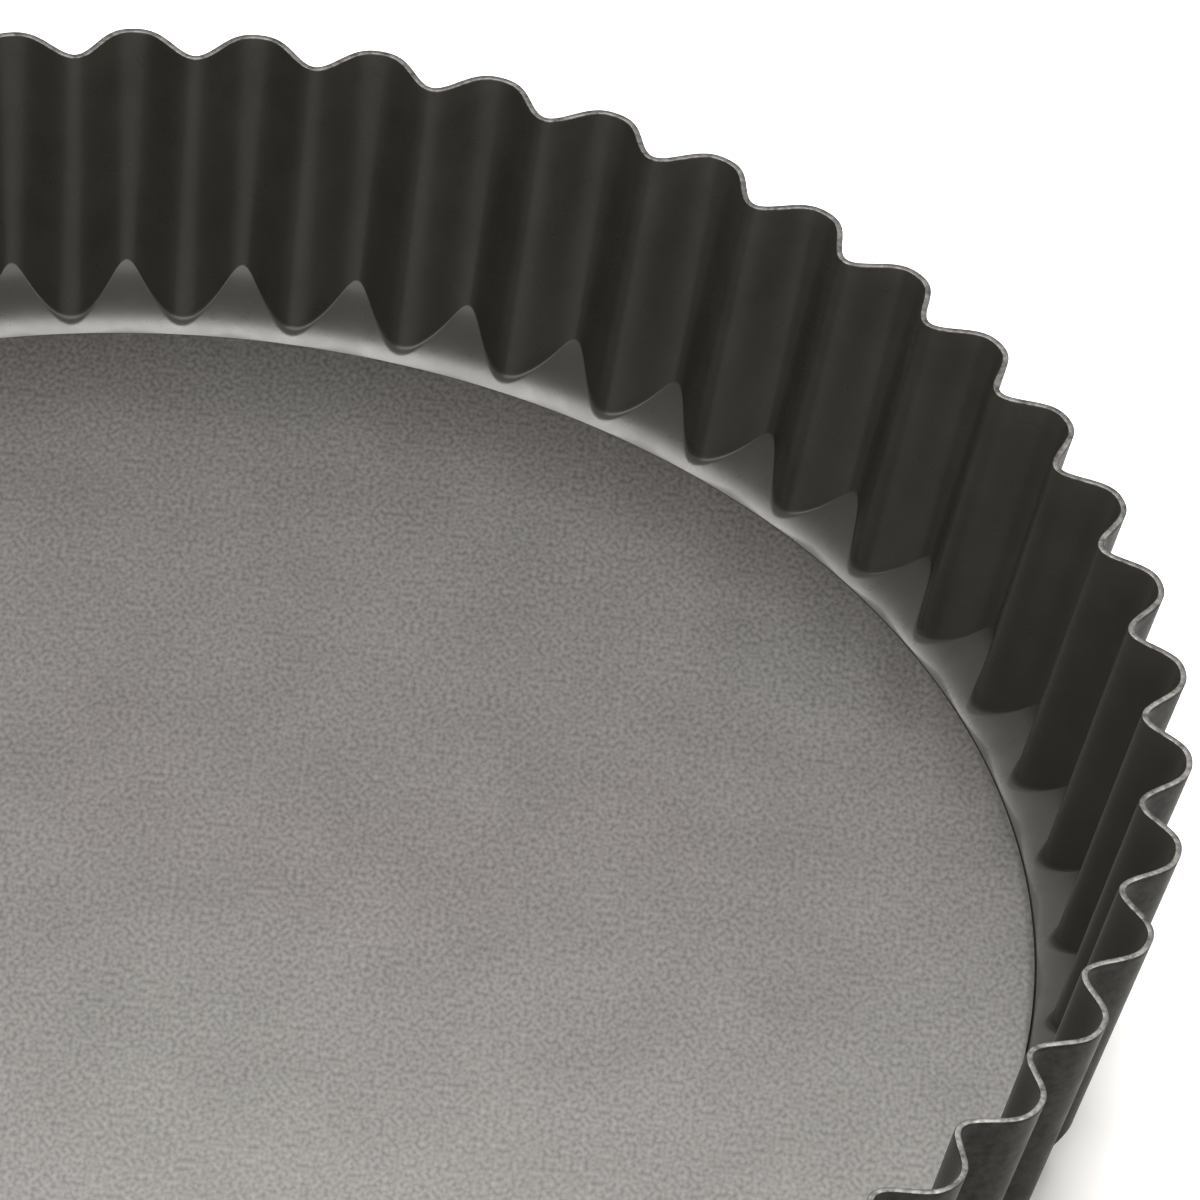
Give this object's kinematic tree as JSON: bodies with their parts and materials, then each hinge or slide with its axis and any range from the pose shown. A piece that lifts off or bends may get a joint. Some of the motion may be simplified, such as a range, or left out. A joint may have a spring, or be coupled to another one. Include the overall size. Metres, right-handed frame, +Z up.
{
  "type": "tart pan",
  "caption": "Round fluted tart pan of dark coated sheet metal: a tall fluted ring with a loose flat base that lifts out.",
  "frame": {"origin": "centre of the underside of the ring's seat, on the surface the pan stands on", "axes": "+Z up along the pan's axis, out of its open mouth; +X and +Y each through the crest of an outward flute"},
  "size_m": [0.25, 0.25, 0.0407],
  "materials": {
    "ring_coating": "satin charcoal non-stick coating, worn to bare steel along the rim edge",
    "base_coating": "fine-grained grey metallic non-stick coating"
  },
  "bodies": {
    "ring": {"fluted_ring": "ring_coating"},
    "base": {"base_disc": "base_coating"}
  },
  "joints": [
    {"name": "base_lift", "type": "slide", "parent": "ring", "child": "base", "axis": [0, 0, 1], "range_m": [0, 0.05]}
  ]
}
